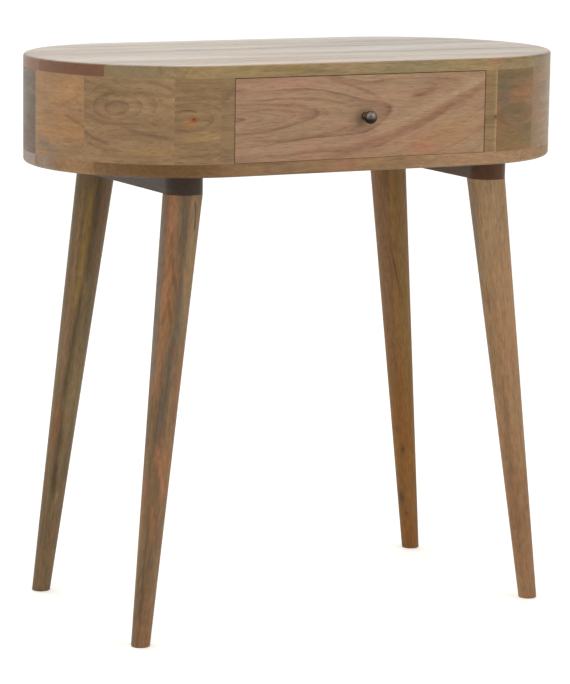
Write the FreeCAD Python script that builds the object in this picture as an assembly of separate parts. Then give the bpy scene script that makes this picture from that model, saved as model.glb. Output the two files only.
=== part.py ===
import FreeCAD, Part
import math
import os

from FreeCAD import Vector

# A pill-shaped console table with one drawer and four splayed, tapered legs.
# Millimetres. The floor is z = 0, +Z is up and the drawer faces -Y.
# Pieces are drawn about the middle of the case, and all are moved back by half of the knob's reach
# when they are written, which puts the origin under the middle of the whole table.

# Overall size of the case and the table
LENGTH = 760.0
DEPTH = 392.0
HEIGHT = 760.0

# Case: the two panels and the wall between them
TOP_THICKNESS = 16.0
BOTTOM_THICKNESS = 17.5
WALL_HEIGHT = 110.0
WALL_THICKNESS = 22.0
TOP_EDGE_ROUND = 4.0
BOTTOM_EDGE_ROUND = 5.0

# Boards of the panels, counted from the front edge
TOP_FIRST_PLANK = 75.0
BOTTOM_FIRST_PLANK = 87.0
PLANK_WIDTH = 110.0
LEAST_PLANK = 40.0

# Wall pieces: the drawer opening runs a little past the straight front into each round end, then come
# the stiles beside it, and the stave joints, given as angles from the tip of each end
OPENING_OVERRUN = 4.5
STILE_WIDTH = 19.0
INNER_STAVE_JOINT = 29.5
LEFT_OUTER_JOINT = 65.5
RIGHT_OUTER_JOINT = 61.5

# Partitions, runners, kickers and stops inside the case
PARTITION_THICKNESS = 15.0
PARTITION_GAP = 2.0
RUNNER_WIDTH = 14.0
RUNNER_HEIGHT = 6.0
RUNNER_SETBACK = 4.0
KICKER_WIDTH = 14.0
KICKER_HEIGHT = 12.0
STOP_LENGTH = 20.0
STOP_HEIGHT = 30.0
STOP_GAP = 0.3

# Dowels between the wall and the panels
DOWEL_DIAMETER = 8.0
DOWEL_IN_WALL = 14.0
DOWEL_COVER = 7.0
DOWEL_CHAMFER = 0.8
FIXING_CLEARANCE = 0.1

# Drawer gaps and boards
DRAWER_SIDE_GAP = 1.0
DRAWER_TOP_GAP = 0.8
DRAWER_BOTTOM_GAP = 0.4
RUNNER_CLEARANCE = 0.3
KICKER_CLEARANCE = 1.5
DRAWER_BACK_SPACE = 40.0
DRAWER_FRONT_THICKNESS = 18.0
DRAWER_FRONT_EASE = 0.5
DRAWER_SIDE_THICKNESS = 12.0
DRAWER_BACK_THICKNESS = 12.0
DRAWER_BACK_INSET = 5.0
DRAWER_BACK_DROP = 8.0
DRAWER_PANEL_THICKNESS = 5.0
DRAWER_PANEL_RAISE = 8.0
PANEL_CLEARANCE = 0.1
GROOVE_DEPTH = 6.0
DADO_DEPTH = 4.0

# Half-blind dovetails between the drawer's front and sides
DOVETAIL_LAP = 5.0
TAIL_WIDTH = 16.0
TAIL_SPACING = 28.0
TAIL_SLOPE = 1.0 / 7.0

# Pins that hold the drawer's bottom panel to its back
PIN_DIAMETER = 1.6
PIN_LENGTH = 14.0
PIN_HEAD_DIAMETER = 3.4
PIN_HEAD_HEIGHT = 0.8

# Knob, a little to the right of the drawer's middle, its backplate and its screw
KNOB_OFFSET = 4.0
KNOB_REACH = 21.5
KNOB_DIAMETER = 17.5
KNOB_HEAD_DEPTH = 14.0
KNOB_NECK_DIAMETER = 7.0
KNOB_FOOT_DIAMETER = 9.0
BACKPLATE_DIAMETER = 11.5
BACKPLATE_THICKNESS = 2.0
BACKPLATE_ROUND = 0.8
KNOB_SCREW_DIAMETER = 4.0
KNOB_SCREW_BITE = 9.0
KNOB_SCREW_HEAD_DIAMETER = 8.0
KNOB_SCREW_HEAD_HEIGHT = 2.8
KNOB_SCREW_HEAD_ROUND = 1.2
SCREW_SLOT_WIDTH = 1.1
SCREW_SLOT_DEPTH = 1.2

# Bearers under the case, and the screws that hold them up
BEARER_THICKNESS = 25.5
BEARER_EDGE_ROUND = 1.0
BEARER_SCREW_DIAMETER = 4.4
BEARER_SCREW_HEAD_DIAMETER = 8.6
BEARER_SCREW_HEAD_HEIGHT = 2.6
BEARER_SCREW_BITE = 11.0
BEARER_SCREW_POINT = 5.0
BEARER_SCREW_FROM_MIDDLE = 25.0
BEARER_SCREW_FROM_LEG = 30.0

# Legs: where their tops sit under the case, how far they splay, and their taper
LEG_INSET_X = 149.0
LEG_INSET_Y = 62.0
LEG_SPREAD_X = 69.5
LEG_SPREAD_Y = 27.5
LEG_TOP_DIAMETER = 52.0
LEG_FOOT_DIAMETER = 25.0
LEG_FOOT_ROUND = 1.5

# Hanger bolts in the legs, and the threaded inserts that take them in the bearers
BOLT_DIAMETER = 8.0
BOLT_IN_LEG = 45.0
BOLT_CHAMFER = 1.0
INSERT_DIAMETER = 12.0
INSERT_SINK = 1.5
INSERT_COVER = 5.5

# Levels and places that follow from the sizes above
END_RADIUS = DEPTH / 2
HALF_STRAIGHT = LENGTH / 2 - END_RADIUS
HALF_OPENING = HALF_STRAIGHT + OPENING_OVERRUN
INNER_RADIUS = END_RADIUS - WALL_THICKNESS
MID_RADIUS = END_RADIUS - WALL_THICKNESS / 2
WALL_HIGH = HEIGHT - TOP_THICKNESS
WALL_LOW = WALL_HIGH - WALL_HEIGHT
CASE_LOW = WALL_LOW - BOTTOM_THICKNESS
LEG_HIGH = CASE_LOW - BEARER_THICKNESS
LEG_TOP_X = LENGTH / 2 - LEG_INSET_X
LEG_TOP_Y = END_RADIUS - LEG_INSET_Y
STILE_EDGE = HALF_OPENING + STILE_WIDTH
PARTITION_END = INNER_RADIUS - PARTITION_GAP

FRONT_FACE = -END_RADIUS
FRONT_INNER = FRONT_FACE + DRAWER_FRONT_THICKNESS
FRONT_LOW = WALL_LOW + DRAWER_BOTTOM_GAP
FRONT_HIGH = WALL_HIGH - DRAWER_TOP_GAP
DRAWER_HALF = HALF_OPENING - DRAWER_SIDE_GAP
DRAWER_INSIDE = DRAWER_HALF - DRAWER_SIDE_THICKNESS
DRAWER_REAR = INNER_RADIUS - DRAWER_BACK_SPACE
DRAWER_BACK_REAR = DRAWER_REAR - DRAWER_BACK_INSET
DRAWER_BACK_FRONT = DRAWER_BACK_REAR - DRAWER_BACK_THICKNESS
RUNNER_HIGH = WALL_LOW + RUNNER_HEIGHT
RUNNER_FRONT = FRONT_INNER + RUNNER_SETBACK
SIDE_LOW = RUNNER_HIGH + RUNNER_CLEARANCE
SIDE_HIGH = WALL_HIGH - KICKER_HEIGHT - KICKER_CLEARANCE
PANEL_LOW = SIDE_LOW + DRAWER_PANEL_RAISE
PANEL_HIGH = PANEL_LOW + DRAWER_PANEL_THICKNESS
KNOB_HEIGHT = (FRONT_LOW + FRONT_HIGH) / 2
KNOB_SCREW_TIP = BACKPLATE_THICKNESS + KNOB_SCREW_BITE

SIDES = {"left": -1, "right": 1}
OUTER_STAVE_JOINT = {-1: LEFT_OUTER_JOINT, 1: RIGHT_OUTER_JOINT}
ENDS = {"front": -1, "back": 1}
FLAT = 0.001
UP = Vector(0, 0, 1)
OUT = Vector(0, -1, 0)

# Bezier share for a quarter round, and shares of an edge's rounding that its two rounds of flats cut
ROUND_POLE = 0.5523
FIRST_CUT = 2 - math.sqrt(2)
SECOND_CUT = math.tan(math.radians(22.5)) - math.tan(math.radians(11.25))


# Shapes that several pieces share

def box(low, high):
    """Block between two opposite corners."""
    size = [far - near for near, far in zip(low, high)]
    return Part.makeBox(*size, Vector(*low))


def side_block(side, near, far, front, back, low, high):
    """Block on one side of the table, between two distances from its middle plane."""
    left, right = sorted((side * near, side * far))
    return box((left, front, low), (right, back, high))


def stadium(half_straight, radius, low, high):
    """Upright pill-shaped prism, long along X."""
    front_left = Vector(-half_straight, -radius, low)
    front_right = Vector(half_straight, -radius, low)
    back_right = Vector(half_straight, radius, low)
    back_left = Vector(-half_straight, radius, low)
    right_tip = Vector(half_straight + radius, 0, low)
    left_tip = Vector(-half_straight - radius, 0, low)
    curves = [
        Part.LineSegment(front_left, front_right),
        Part.Arc(front_right, right_tip, back_right),
        Part.LineSegment(back_right, back_left),
        Part.Arc(back_left, left_tip, front_left),
    ]
    outline = Part.Wire([curve.toShape() for curve in curves])
    return Part.Face(outline).extrude(UP * (high - low))


def rim(shape, level):
    """Edges of a shape that lie wholly at one height."""
    boxes = [(edge, edge.BoundBox) for edge in shape.Edges]
    return [edge for edge, b in boxes if abs(b.ZMin - level) < FLAT and abs(b.ZMax - level) < FLAT]


def rod(diameter, start, along, length, chamfer=0.0):
    """Round bar from a start point, with its two ends chamfered if asked."""
    bar = Part.makeCylinder(diameter / 2, length, start, along)
    if not chamfer:
        return bar
    rings = [edge for edge in bar.Edges if edge.isClosed()]
    return bar.makeChamfer(chamfer, rings)


def drilled(shape, holes):
    """Shape with every hole that reaches it cut out."""
    near = [hole for hole in holes if hole.BoundBox.intersect(shape.BoundBox)]
    return shape.cut(near) if near else shape


# Dowels

def dowel_spots():
    """Plan places of the dowels: staves, stiles, back board and partitions."""
    stile_angle = math.degrees(math.acos((STILE_EDGE - HALF_STRAIGHT) / MID_RADIUS))
    spots = []
    for side in SIDES.values():
        joints = [0, INNER_STAVE_JOINT, OUTER_STAVE_JOINT[side], stile_angle]
        for low, high in zip(joints, joints[1:]):
            middle = math.radians((low + high) / 2)
            x = side * (HALF_STRAIGHT + MID_RADIUS * math.cos(middle))
            y = MID_RADIUS * math.sin(middle)
            spots += [(x, -y), (x, y)]
        stile_run = OPENING_OVERRUN + STILE_WIDTH / 2
        stile_y = -math.sqrt(MID_RADIUS ** 2 - stile_run ** 2)
        spots.append((side * (HALF_STRAIGHT + stile_run), stile_y))
        partition_x = side * (HALF_OPENING + PARTITION_THICKNESS / 2)
        spots += [(partition_x, end * PARTITION_END / 2) for end in ENDS.values()]
    back_step = 2 * STILE_EDGE / 3
    spots += [(step * back_step, MID_RADIUS) for step in (-1, 0, 1)]
    return spots


def dowels(low, high, chamfer=0.0, clearance=0.0):
    """A dowel, or with a clearance its hole, at every dowel spot."""
    diameter = DOWEL_DIAMETER + 2 * clearance
    length = high - low + 2 * clearance
    starts = [Vector(x, y, low - clearance) for x, y in dowel_spots()]
    return [rod(diameter, start, UP, length, chamfer) for start in starts]


def lower_dowels(**options):
    return dowels(CASE_LOW + DOWEL_COVER, WALL_LOW + DOWEL_IN_WALL, **options)


def upper_dowels(**options):
    return dowels(WALL_HIGH - DOWEL_IN_WALL, HEIGHT - DOWEL_COVER, **options)


# Top and bottom panels

def rounded_slab(low, high, rim_level, edge_round):
    """Pill-shaped slab whose rim at one level is rounded off in three flats."""
    slab = stadium(HALF_STRAIGHT, END_RADIUS, low, high)
    first = edge_round * FIRST_CUT
    eased = slab.makeChamfer(first, rim(slab, rim_level))
    side_level = low + first if rim_level == low else high - first
    corners = rim(eased, rim_level) + rim(eased, side_level)
    return eased.makeChamfer(edge_round * SECOND_CUT, corners)


def planks(low, high, first_width, rim_level, edge_round, holes):
    """Boards of a panel, from front to back, with the panel's outer rim rounded at one level."""
    slab = rounded_slab(low, high, rim_level, edge_round)
    joints = [FRONT_FACE + first_width]
    while joints[-1] + PLANK_WIDTH < END_RADIUS - LEAST_PLANK:
        joints.append(joints[-1] + PLANK_WIDTH)
    edges = [-END_RADIUS, *joints, END_RADIUS]
    boards = []
    for front, back in zip(edges, edges[1:]):
        board = slab.common(box((-LENGTH, front, low), (LENGTH, back, high)))
        boards.append(drilled(board, holes))
    return boards


def top_planks():
    holes = upper_dowels(clearance=FIXING_CLEARANCE)
    return planks(WALL_HIGH, HEIGHT, TOP_FIRST_PLANK, HEIGHT, TOP_EDGE_ROUND, holes)


def bottom_planks():
    holes = lower_dowels(clearance=FIXING_CLEARANCE) + bearer_screws(FIXING_CLEARANCE)
    return planks(CASE_LOW, WALL_LOW, BOTTOM_FIRST_PLANK, CASE_LOW, BOTTOM_EDGE_ROUND, holes)


# Wall of the case

def wall_ring():
    """The whole wall before it is divided, with its dowel holes."""
    outer = stadium(HALF_STRAIGHT, END_RADIUS, WALL_LOW, WALL_HIGH)
    inner = stadium(HALF_STRAIGHT, INNER_RADIUS, WALL_LOW, WALL_HIGH)
    holes = lower_dowels(clearance=FIXING_CLEARANCE) + upper_dowels(clearance=FIXING_CLEARANCE)
    return drilled(outer.cut(inner), holes)


def sector(side, start, stop):
    """Wedge of space about the centre of one end, between two angles from its tip."""
    reach = 2 * DEPTH
    corners = [Vector(side * HALF_STRAIGHT, 0, WALL_LOW)]
    for angle in (math.radians(start), math.radians(stop)):
        x = side * (HALF_STRAIGHT + reach * math.cos(angle))
        corners.append(Vector(x, reach * math.sin(angle), WALL_LOW))
    outline = Part.makePolygon(corners + corners[:1])
    return Part.Face(outline).extrude(UP * WALL_HEIGHT)


def staves(ring, side):
    """Curved staves of one end, from front to back, outside the stiles and the back board."""
    flat_part = box((-STILE_EDGE, -DEPTH, 0), (STILE_EDGE, DEPTH, HEIGHT))
    outer = OUTER_STAVE_JOINT[side]
    joints = [-90, -outer, -INNER_STAVE_JOINT, 0, INNER_STAVE_JOINT, outer, 90]
    return [ring.common(sector(side, *pair)).cut(flat_part) for pair in zip(joints, joints[1:])]


def front_stile(ring, side):
    return ring.common(side_block(side, HALF_OPENING, STILE_EDGE, -DEPTH, 0, WALL_LOW, WALL_HIGH))


def back_board(ring):
    return ring.common(box((-STILE_EDGE, 0, WALL_LOW), (STILE_EDGE, DEPTH, WALL_HIGH)))


# Drawer guides inside the case

def partition(side):
    far = HALF_OPENING + PARTITION_THICKNESS
    board = side_block(side, HALF_OPENING, far, -PARTITION_END, PARTITION_END, WALL_LOW, WALL_HIGH)
    holes = lower_dowels(clearance=FIXING_CLEARANCE) + upper_dowels(clearance=FIXING_CLEARANCE)
    return drilled(board, holes)


def drawer_runner(side):
    near = HALF_OPENING - RUNNER_WIDTH
    return side_block(side, near, HALF_OPENING, RUNNER_FRONT, PARTITION_END, WALL_LOW, RUNNER_HIGH)


def drawer_kicker(side):
    near = HALF_OPENING - KICKER_WIDTH
    low = WALL_HIGH - KICKER_HEIGHT
    return side_block(side, near, HALF_OPENING, RUNNER_FRONT, PARTITION_END, low, WALL_HIGH)


def drawer_stop(side):
    near = HALF_OPENING - RUNNER_WIDTH
    front = DRAWER_REAR + STOP_GAP
    high = RUNNER_HIGH + STOP_HEIGHT
    return side_block(side, near, HALF_OPENING, front, front + STOP_LENGTH, RUNNER_HIGH, high)


# Drawer

def tails(side):
    """Dovetails at the front end of one drawer side."""
    side_height = SIDE_HIGH - SIDE_LOW
    count = max(1, int(side_height // TAIL_SPACING))
    pitch = side_height / count
    tip = FRONT_FACE + DOVETAIL_LAP
    root_half = TAIL_WIDTH / 2
    tip_half = root_half + (FRONT_INNER - tip) * TAIL_SLOPE
    x = side * DRAWER_INSIDE
    shapes = []
    for index in range(count):
        middle = SIDE_LOW + (index + 0.5) * pitch
        corners = [
            Vector(x, FRONT_INNER, middle - root_half),
            Vector(x, tip, middle - tip_half),
            Vector(x, tip, middle + tip_half),
            Vector(x, FRONT_INNER, middle + root_half),
        ]
        outline = Part.makePolygon(corners + corners[:1])
        shapes.append(Part.Face(outline).extrude(Vector(side * DRAWER_SIDE_THICKNESS, 0, 0)))
    return shapes


def panel_groove():
    """Space that the drawer's bottom panel needs in the front and the sides."""
    half = DRAWER_INSIDE + GROOVE_DEPTH
    front = FRONT_INNER - GROOVE_DEPTH
    return box((-half, front, PANEL_LOW - PANEL_CLEARANCE), (half, DEPTH, PANEL_HIGH + PANEL_CLEARANCE))


def drawer_front():
    board = box((-DRAWER_HALF, FRONT_FACE, FRONT_LOW), (DRAWER_HALF, FRONT_INNER, FRONT_HIGH))
    face_edges = [edge for edge in board.Edges if edge.BoundBox.YMax < FRONT_FACE + FLAT]
    eased = board.makeFillet(DRAWER_FRONT_EASE, face_edges)
    hole_diameter = KNOB_SCREW_DIAMETER + 2 * FIXING_CLEARANCE
    hole = rod(hole_diameter, knob_point(0, -DRAWER_FRONT_THICKNESS), OUT, DRAWER_FRONT_THICKNESS)
    return eased.cut([*tails(-1), *tails(1), panel_groove(), hole])


def drawer_side(side):
    board = side_block(side, DRAWER_INSIDE, DRAWER_HALF, FRONT_INNER, DRAWER_REAR, SIDE_LOW, SIDE_HIGH)
    joined = board.fuse(tails(side)).removeSplitter()
    return joined.cut([panel_groove(), drawer_back_board()])


def drawer_back_board():
    half = DRAWER_INSIDE + DADO_DEPTH
    high = SIDE_HIGH - DRAWER_BACK_DROP
    return box((-half, DRAWER_BACK_FRONT, PANEL_HIGH), (half, DRAWER_BACK_REAR, high))


def drawer_back():
    return drawer_back_board().cut(bottom_pins(FIXING_CLEARANCE))


def drawer_bottom():
    half = DRAWER_INSIDE + GROOVE_DEPTH - PANEL_CLEARANCE
    front = FRONT_INNER - GROOVE_DEPTH + PANEL_CLEARANCE
    panel = box((-half, front, PANEL_LOW), (half, DRAWER_BACK_REAR, PANEL_HIGH))
    return panel.cut(bottom_pins(FIXING_CLEARANCE))


def bottom_pins(clearance=0.0):
    """Flat-headed pins from under the panel up into the drawer's back, or their holes."""
    step = 2 * DRAWER_INSIDE / 3
    y = (DRAWER_BACK_FRONT + DRAWER_BACK_REAR) / 2
    pins = []
    for index in (-1, 0, 1):
        start = Vector(index * step, y, PANEL_LOW)
        shank = rod(PIN_DIAMETER + 2 * clearance, start, UP, PIN_LENGTH + clearance)
        head = rod(PIN_HEAD_DIAMETER, start, -UP, PIN_HEAD_HEIGHT)
        pins.append(shank if clearance else shank.fuse(head).removeSplitter())
    return pins


# Knob

def knob_point(radius, reach):
    """Point of a turned profile, from its radius and its distance off the drawer's face."""
    return Vector(KNOB_OFFSET + radius, FRONT_FACE - reach, KNOB_HEIGHT)


def turned(curves):
    """Solid of a profile turned about the knob's axis."""
    profile = Part.Face(Part.Wire([curve.toShape() for curve in curves]))
    return profile.revolve(knob_point(0, 0), OUT, 360)


def knob_screw_hole():
    diameter = KNOB_SCREW_DIAMETER + 2 * FIXING_CLEARANCE
    return rod(diameter, knob_point(0, 0), OUT, KNOB_SCREW_TIP + FIXING_CLEARANCE)


def quarter_round(inner, outer, flat_reach, wide_reach):
    """Profile curve that starts square to the axis at one reach and is widest at another."""
    curve = Part.BezierCurve()
    curve.setPoles([
        knob_point(inner, flat_reach),
        knob_point(inner + (outer - inner) * ROUND_POLE, flat_reach),
        knob_point(outer, wide_reach + (flat_reach - wide_reach) * ROUND_POLE),
        knob_point(outer, wide_reach),
    ])
    return curve


def drawer_knob():
    """Turned knob: a waisted stem under a flattened ball."""
    head_radius = KNOB_DIAMETER / 2
    stem_radius = KNOB_FOOT_DIAMETER / 2
    head_back = KNOB_REACH - KNOB_HEAD_DEPTH
    widest = KNOB_REACH - KNOB_HEAD_DEPTH / 2
    axis_base = knob_point(0, BACKPLATE_THICKNESS)
    foot = knob_point(stem_radius, BACKPLATE_THICKNESS)
    neck = knob_point(KNOB_NECK_DIAMETER / 2, (BACKPLATE_THICKNESS + head_back) / 2)
    collar = knob_point(stem_radius, head_back)
    curves = [
        Part.LineSegment(axis_base, foot),
        Part.Arc(foot, neck, collar),
        quarter_round(stem_radius, head_radius, head_back, widest),
        quarter_round(0, head_radius, KNOB_REACH, widest),
        Part.LineSegment(knob_point(0, KNOB_REACH), axis_base),
    ]
    return turned(curves).cut(knob_screw_hole())


def knob_backplate():
    """Small disc with a rounded rim between the knob and the drawer."""
    disc = rod(BACKPLATE_DIAMETER, knob_point(0, 0), OUT, BACKPLATE_THICKNESS)
    outer_rim = [edge for edge in disc.Edges if edge.isClosed() and edge.BoundBox.YMax < FRONT_FACE - FLAT]
    return disc.makeFillet(BACKPLATE_ROUND, outer_rim).cut(knob_screw_hole())


def knob_screw():
    """Slotted screw from inside the drawer, through its front and into the knob."""
    seat = knob_point(0, -DRAWER_FRONT_THICKNESS)
    head = rod(KNOB_SCREW_HEAD_DIAMETER, seat, -OUT, KNOB_SCREW_HEAD_HEIGHT)
    head_top = FRONT_INNER + KNOB_SCREW_HEAD_HEIGHT
    crown_rim = [edge for edge in head.Edges if edge.isClosed() and edge.BoundBox.YMin > head_top - FLAT]
    head = head.makeFillet(KNOB_SCREW_HEAD_ROUND, crown_rim)
    half_slot = SCREW_SLOT_WIDTH / 2
    half_head = KNOB_SCREW_HEAD_DIAMETER / 2
    slot_low = (seat.x - half_head, head_top - SCREW_SLOT_DEPTH, KNOB_HEIGHT - half_slot)
    slot = box(slot_low, (seat.x + half_head, head_top, KNOB_HEIGHT + half_slot))
    shank = rod(KNOB_SCREW_DIAMETER, seat, OUT, DRAWER_FRONT_THICKNESS + KNOB_SCREW_TIP)
    return shank.fuse(head.cut(slot)).removeSplitter()


# Bearers and their screws

def bearer_screw(x, y, clearance):
    """Countersunk wood screw, point up, with its head in the underside of a bearer."""
    shank = BEARER_SCREW_DIAMETER / 2 + clearance
    head = BEARER_SCREW_HEAD_DIAMETER / 2 + clearance
    length = BEARER_THICKNESS + BEARER_SCREW_BITE + clearance
    profile = [
        (0, 0),
        (head, 0),
        (shank, BEARER_SCREW_HEAD_HEIGHT),
        (shank, length - BEARER_SCREW_POINT),
        (0, length),
        (0, 0),
    ]
    outline = Part.makePolygon([Vector(x + radius, y, LEG_HIGH + rise) for radius, rise in profile])
    screw = Part.Face(outline).revolve(Vector(x, y, LEG_HIGH), UP, 360)
    if clearance:
        return screw
    half_slot = SCREW_SLOT_WIDTH / 2
    slot_high = LEG_HIGH + SCREW_SLOT_DEPTH
    return screw.cut(box((x - head, y - half_slot, LEG_HIGH), (x + head, y + half_slot, slot_high)))


def bearer_screws(clearance=0.0):
    far = LEG_TOP_Y - LEG_TOP_DIAMETER / 2 - BEARER_SCREW_FROM_LEG
    places = [-far, -BEARER_SCREW_FROM_MIDDLE, BEARER_SCREW_FROM_MIDDLE, far]
    return [bearer_screw(side * LEG_TOP_X, y, clearance) for side in SIDES.values() for y in places]


def leg_bearer(side):
    """Pill-shaped bar under the case, from over the front leg to over the back leg."""
    bar = stadium(LEG_TOP_Y, LEG_TOP_DIAMETER / 2, LEG_HIGH, CASE_LOW)
    bar = bar.makeFillet(BEARER_EDGE_ROUND, rim(bar, LEG_HIGH))
    bar.rotate(Vector(0, 0, 0), UP, 90)
    bar.translate(Vector(side * LEG_TOP_X, 0, 0))
    pockets = [insert_pocket(side, end) for end in ENDS.values()]
    return drilled(bar, pockets + bearer_screws(FIXING_CLEARANCE))


# Legs and their fixings

def leg_line(side, end):
    """Top point of a leg's centre line, and its direction from foot to top."""
    top = Vector(side * LEG_TOP_X, end * LEG_TOP_Y, LEG_HIGH)
    along = Vector(-side * LEG_SPREAD_X, -end * LEG_SPREAD_Y, LEG_HIGH)
    return top, along


def leg(side, end):
    """Round tapered leg along its splayed line, cut level at its top and foot."""
    top, along = leg_line(side, end)
    spare = LEG_TOP_DIAMETER / along.Length
    taper = (LEG_TOP_DIAMETER - LEG_FOOT_DIAMETER) / 2
    low_radius = LEG_FOOT_DIAMETER / 2 - taper * spare
    high_radius = LEG_TOP_DIAMETER / 2 + taper * spare
    start = top - along * (1 + spare)
    cone = Part.makeCone(low_radius, high_radius, along.Length * (1 + 2 * spare), start, along)
    cut_level = cone.common(box((-LENGTH, -LENGTH, 0), (LENGTH, LENGTH, LEG_HIGH)))
    rounded = cut_level.makeFillet(LEG_FOOT_ROUND, rim(cut_level, 0))
    return rounded.cut(hanger_bolt(side, end, FIXING_CLEARANCE))


def hanger_bolt(side, end, clearance=0.0):
    """Bolt on a leg's centre line, half in the leg and half in the insert, or its hole."""
    top, along = leg_line(side, end)
    along.normalize()
    length = BOLT_IN_LEG + INSERT_SINK + insert_length() + clearance
    start = top - along * (BOLT_IN_LEG + clearance)
    chamfer = 0.0 if clearance else BOLT_CHAMFER
    return rod(BOLT_DIAMETER + 2 * clearance, start, along, length, chamfer)


def insert_length():
    return BEARER_THICKNESS - INSERT_SINK - INSERT_COVER


def threaded_insert(side, end):
    top, along = leg_line(side, end)
    along.normalize()
    sleeve = rod(INSERT_DIAMETER, top + along * INSERT_SINK, along, insert_length())
    return sleeve.cut(hanger_bolt(side, end, FIXING_CLEARANCE))


def insert_pocket(side, end):
    """Hole in a bearer, from its underside to the inner end of the insert."""
    top, along = leg_line(side, end)
    along.normalize()
    below = INSERT_DIAMETER
    length = below + INSERT_SINK + insert_length() + FIXING_CLEARANCE
    return rod(INSERT_DIAMETER + 2 * FIXING_CLEARANCE, top - along * below, along, length)


# All pieces by name

def all_pieces():
    pieces = {}
    for number, plank in enumerate(top_planks(), 1):
        pieces[f"top_plank_{number}"] = plank
    for number, plank in enumerate(bottom_planks(), 1):
        pieces[f"bottom_plank_{number}"] = plank
    ring = wall_ring()
    pieces["back_board"] = back_board(ring)
    for name, side in SIDES.items():
        for number, stave in enumerate(staves(ring, side), 1):
            pieces[f"{name}_stave_{number}"] = stave
        pieces[f"front_stile_{name}"] = front_stile(ring, side)
        pieces[f"partition_{name}"] = partition(side)
        pieces[f"drawer_runner_{name}"] = drawer_runner(side)
        pieces[f"drawer_kicker_{name}"] = drawer_kicker(side)
        pieces[f"drawer_side_{name}"] = drawer_side(side)
        pieces[f"leg_bearer_{name}"] = leg_bearer(side)
        for end_name, end in ENDS.items():
            pieces[f"leg_{end_name}_{name}"] = leg(side, end)
    corners = [(side, end) for side in SIDES.values() for end in ENDS.values()]
    pieces["hanger_bolts"] = Part.makeCompound([hanger_bolt(*corner) for corner in corners])
    pieces["threaded_inserts"] = Part.makeCompound([threaded_insert(*corner) for corner in corners])
    pieces["bearer_screws"] = Part.makeCompound(bearer_screws())
    pieces["dowels_lower"] = Part.makeCompound(lower_dowels(chamfer=DOWEL_CHAMFER))
    pieces["dowels_upper"] = Part.makeCompound(upper_dowels(chamfer=DOWEL_CHAMFER))
    pieces["drawer_stops"] = Part.makeCompound([drawer_stop(side) for side in SIDES.values()])
    pieces["drawer_front"] = drawer_front()
    pieces["drawer_back"] = drawer_back()
    pieces["drawer_bottom"] = drawer_bottom()
    pieces["drawer_bottom_pins"] = Part.makeCompound(bottom_pins())
    pieces["knob_backplate"] = knob_backplate()
    pieces["drawer_knob"] = drawer_knob()
    pieces["knob_screw"] = knob_screw()
    return pieces


def main():
    os.makedirs("parts", exist_ok=True)
    to_middle = Vector(0, KNOB_REACH / 2, 0)
    for name, piece in all_pieces().items():
        piece.translated(to_middle).exportStep(f"parts/{name}.step")


main()
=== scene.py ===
import math

import bpy
from mathutils import Matrix, Vector


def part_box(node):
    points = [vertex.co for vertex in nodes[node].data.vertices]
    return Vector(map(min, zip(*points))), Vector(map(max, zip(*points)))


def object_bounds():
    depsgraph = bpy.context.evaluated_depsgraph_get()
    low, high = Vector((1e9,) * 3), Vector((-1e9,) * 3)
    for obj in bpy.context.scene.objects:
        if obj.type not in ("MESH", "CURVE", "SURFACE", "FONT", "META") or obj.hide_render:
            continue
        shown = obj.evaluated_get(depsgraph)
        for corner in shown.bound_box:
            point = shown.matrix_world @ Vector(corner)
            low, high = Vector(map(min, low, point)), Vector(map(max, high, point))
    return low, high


# Looks of a pill-shaped console table: washed light boards, one drawer with a dark metal knob,
# dark bearers and four tapered legs. Every board has its own wood, placed in the board's own frame:
# along its grain, across its face and outwards from its face, in millimetres.

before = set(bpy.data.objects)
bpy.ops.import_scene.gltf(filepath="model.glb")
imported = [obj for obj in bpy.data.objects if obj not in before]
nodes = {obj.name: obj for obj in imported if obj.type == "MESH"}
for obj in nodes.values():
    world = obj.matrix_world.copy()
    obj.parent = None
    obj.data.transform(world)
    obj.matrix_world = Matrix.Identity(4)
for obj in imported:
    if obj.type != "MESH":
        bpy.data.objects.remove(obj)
cad_low, cad_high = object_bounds()

MM = 0.001
UP = Vector((0, 0, 1))
DOWN = Vector((0, 0, -1))
FRONT = Vector((0, -1, 0))
BACK = Vector((0, 1, 0))
RIGHT = Vector((1, 0, 0))
LEFT = Vector((-1, 0, 0))

# Camera: where it stands in metres from the floor under the case's middle, and how it is turned in degrees
CAMERA_PLACE = Vector((-1.99226, -3.67829, 1.09140))
CAMERA_TURN = -28.385
CAMERA_PITCH = -9.953
CAMERA_ROLL = 0.866
CAMERA_LENS = 161.73
CAMERA_SENSOR = 36.0

# Studio: floor, soft light all round that is warm in front and cool and bright behind, two large soft boxes
# and a small one high in front
FLOOR_SIZE = 120.0
FLOOR_TONE = "FAFAF8"
FLOOR_GLOW = 0.35
FLOOR_ROUGHNESS = 0.9
FLOOR_SHINE = 0.1
FRONT_TONE = "FFFCF4"
BEHIND_TONE = "FAFCFA"
SKY_IN_FRONT = 0.34
SKY_BEHIND = 1.25
SKY_OVERHEAD = 0.35
BEHIND_RAMP = (0.05, 0.8)
OVERHEAD_RAMP = (0.2, 1.0)
KEY_PLACE = Vector((2.3, -3.0, 2.3))
KEY_SIZE = 3.6
KEY_POWER = 48.0
FILL_PLACE = Vector((-3.2, -2.0, 2.2))
FILL_SIZE = 3.6
FILL_POWER = 25.0
HIGH_PLACE = Vector((-1.2, -1.7, 3.5))
HIGH_SIZE = 0.9
HIGH_POWER = 6.0
LIGHT_AIM = Vector((0.0, 0.0, 0.55))

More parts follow.
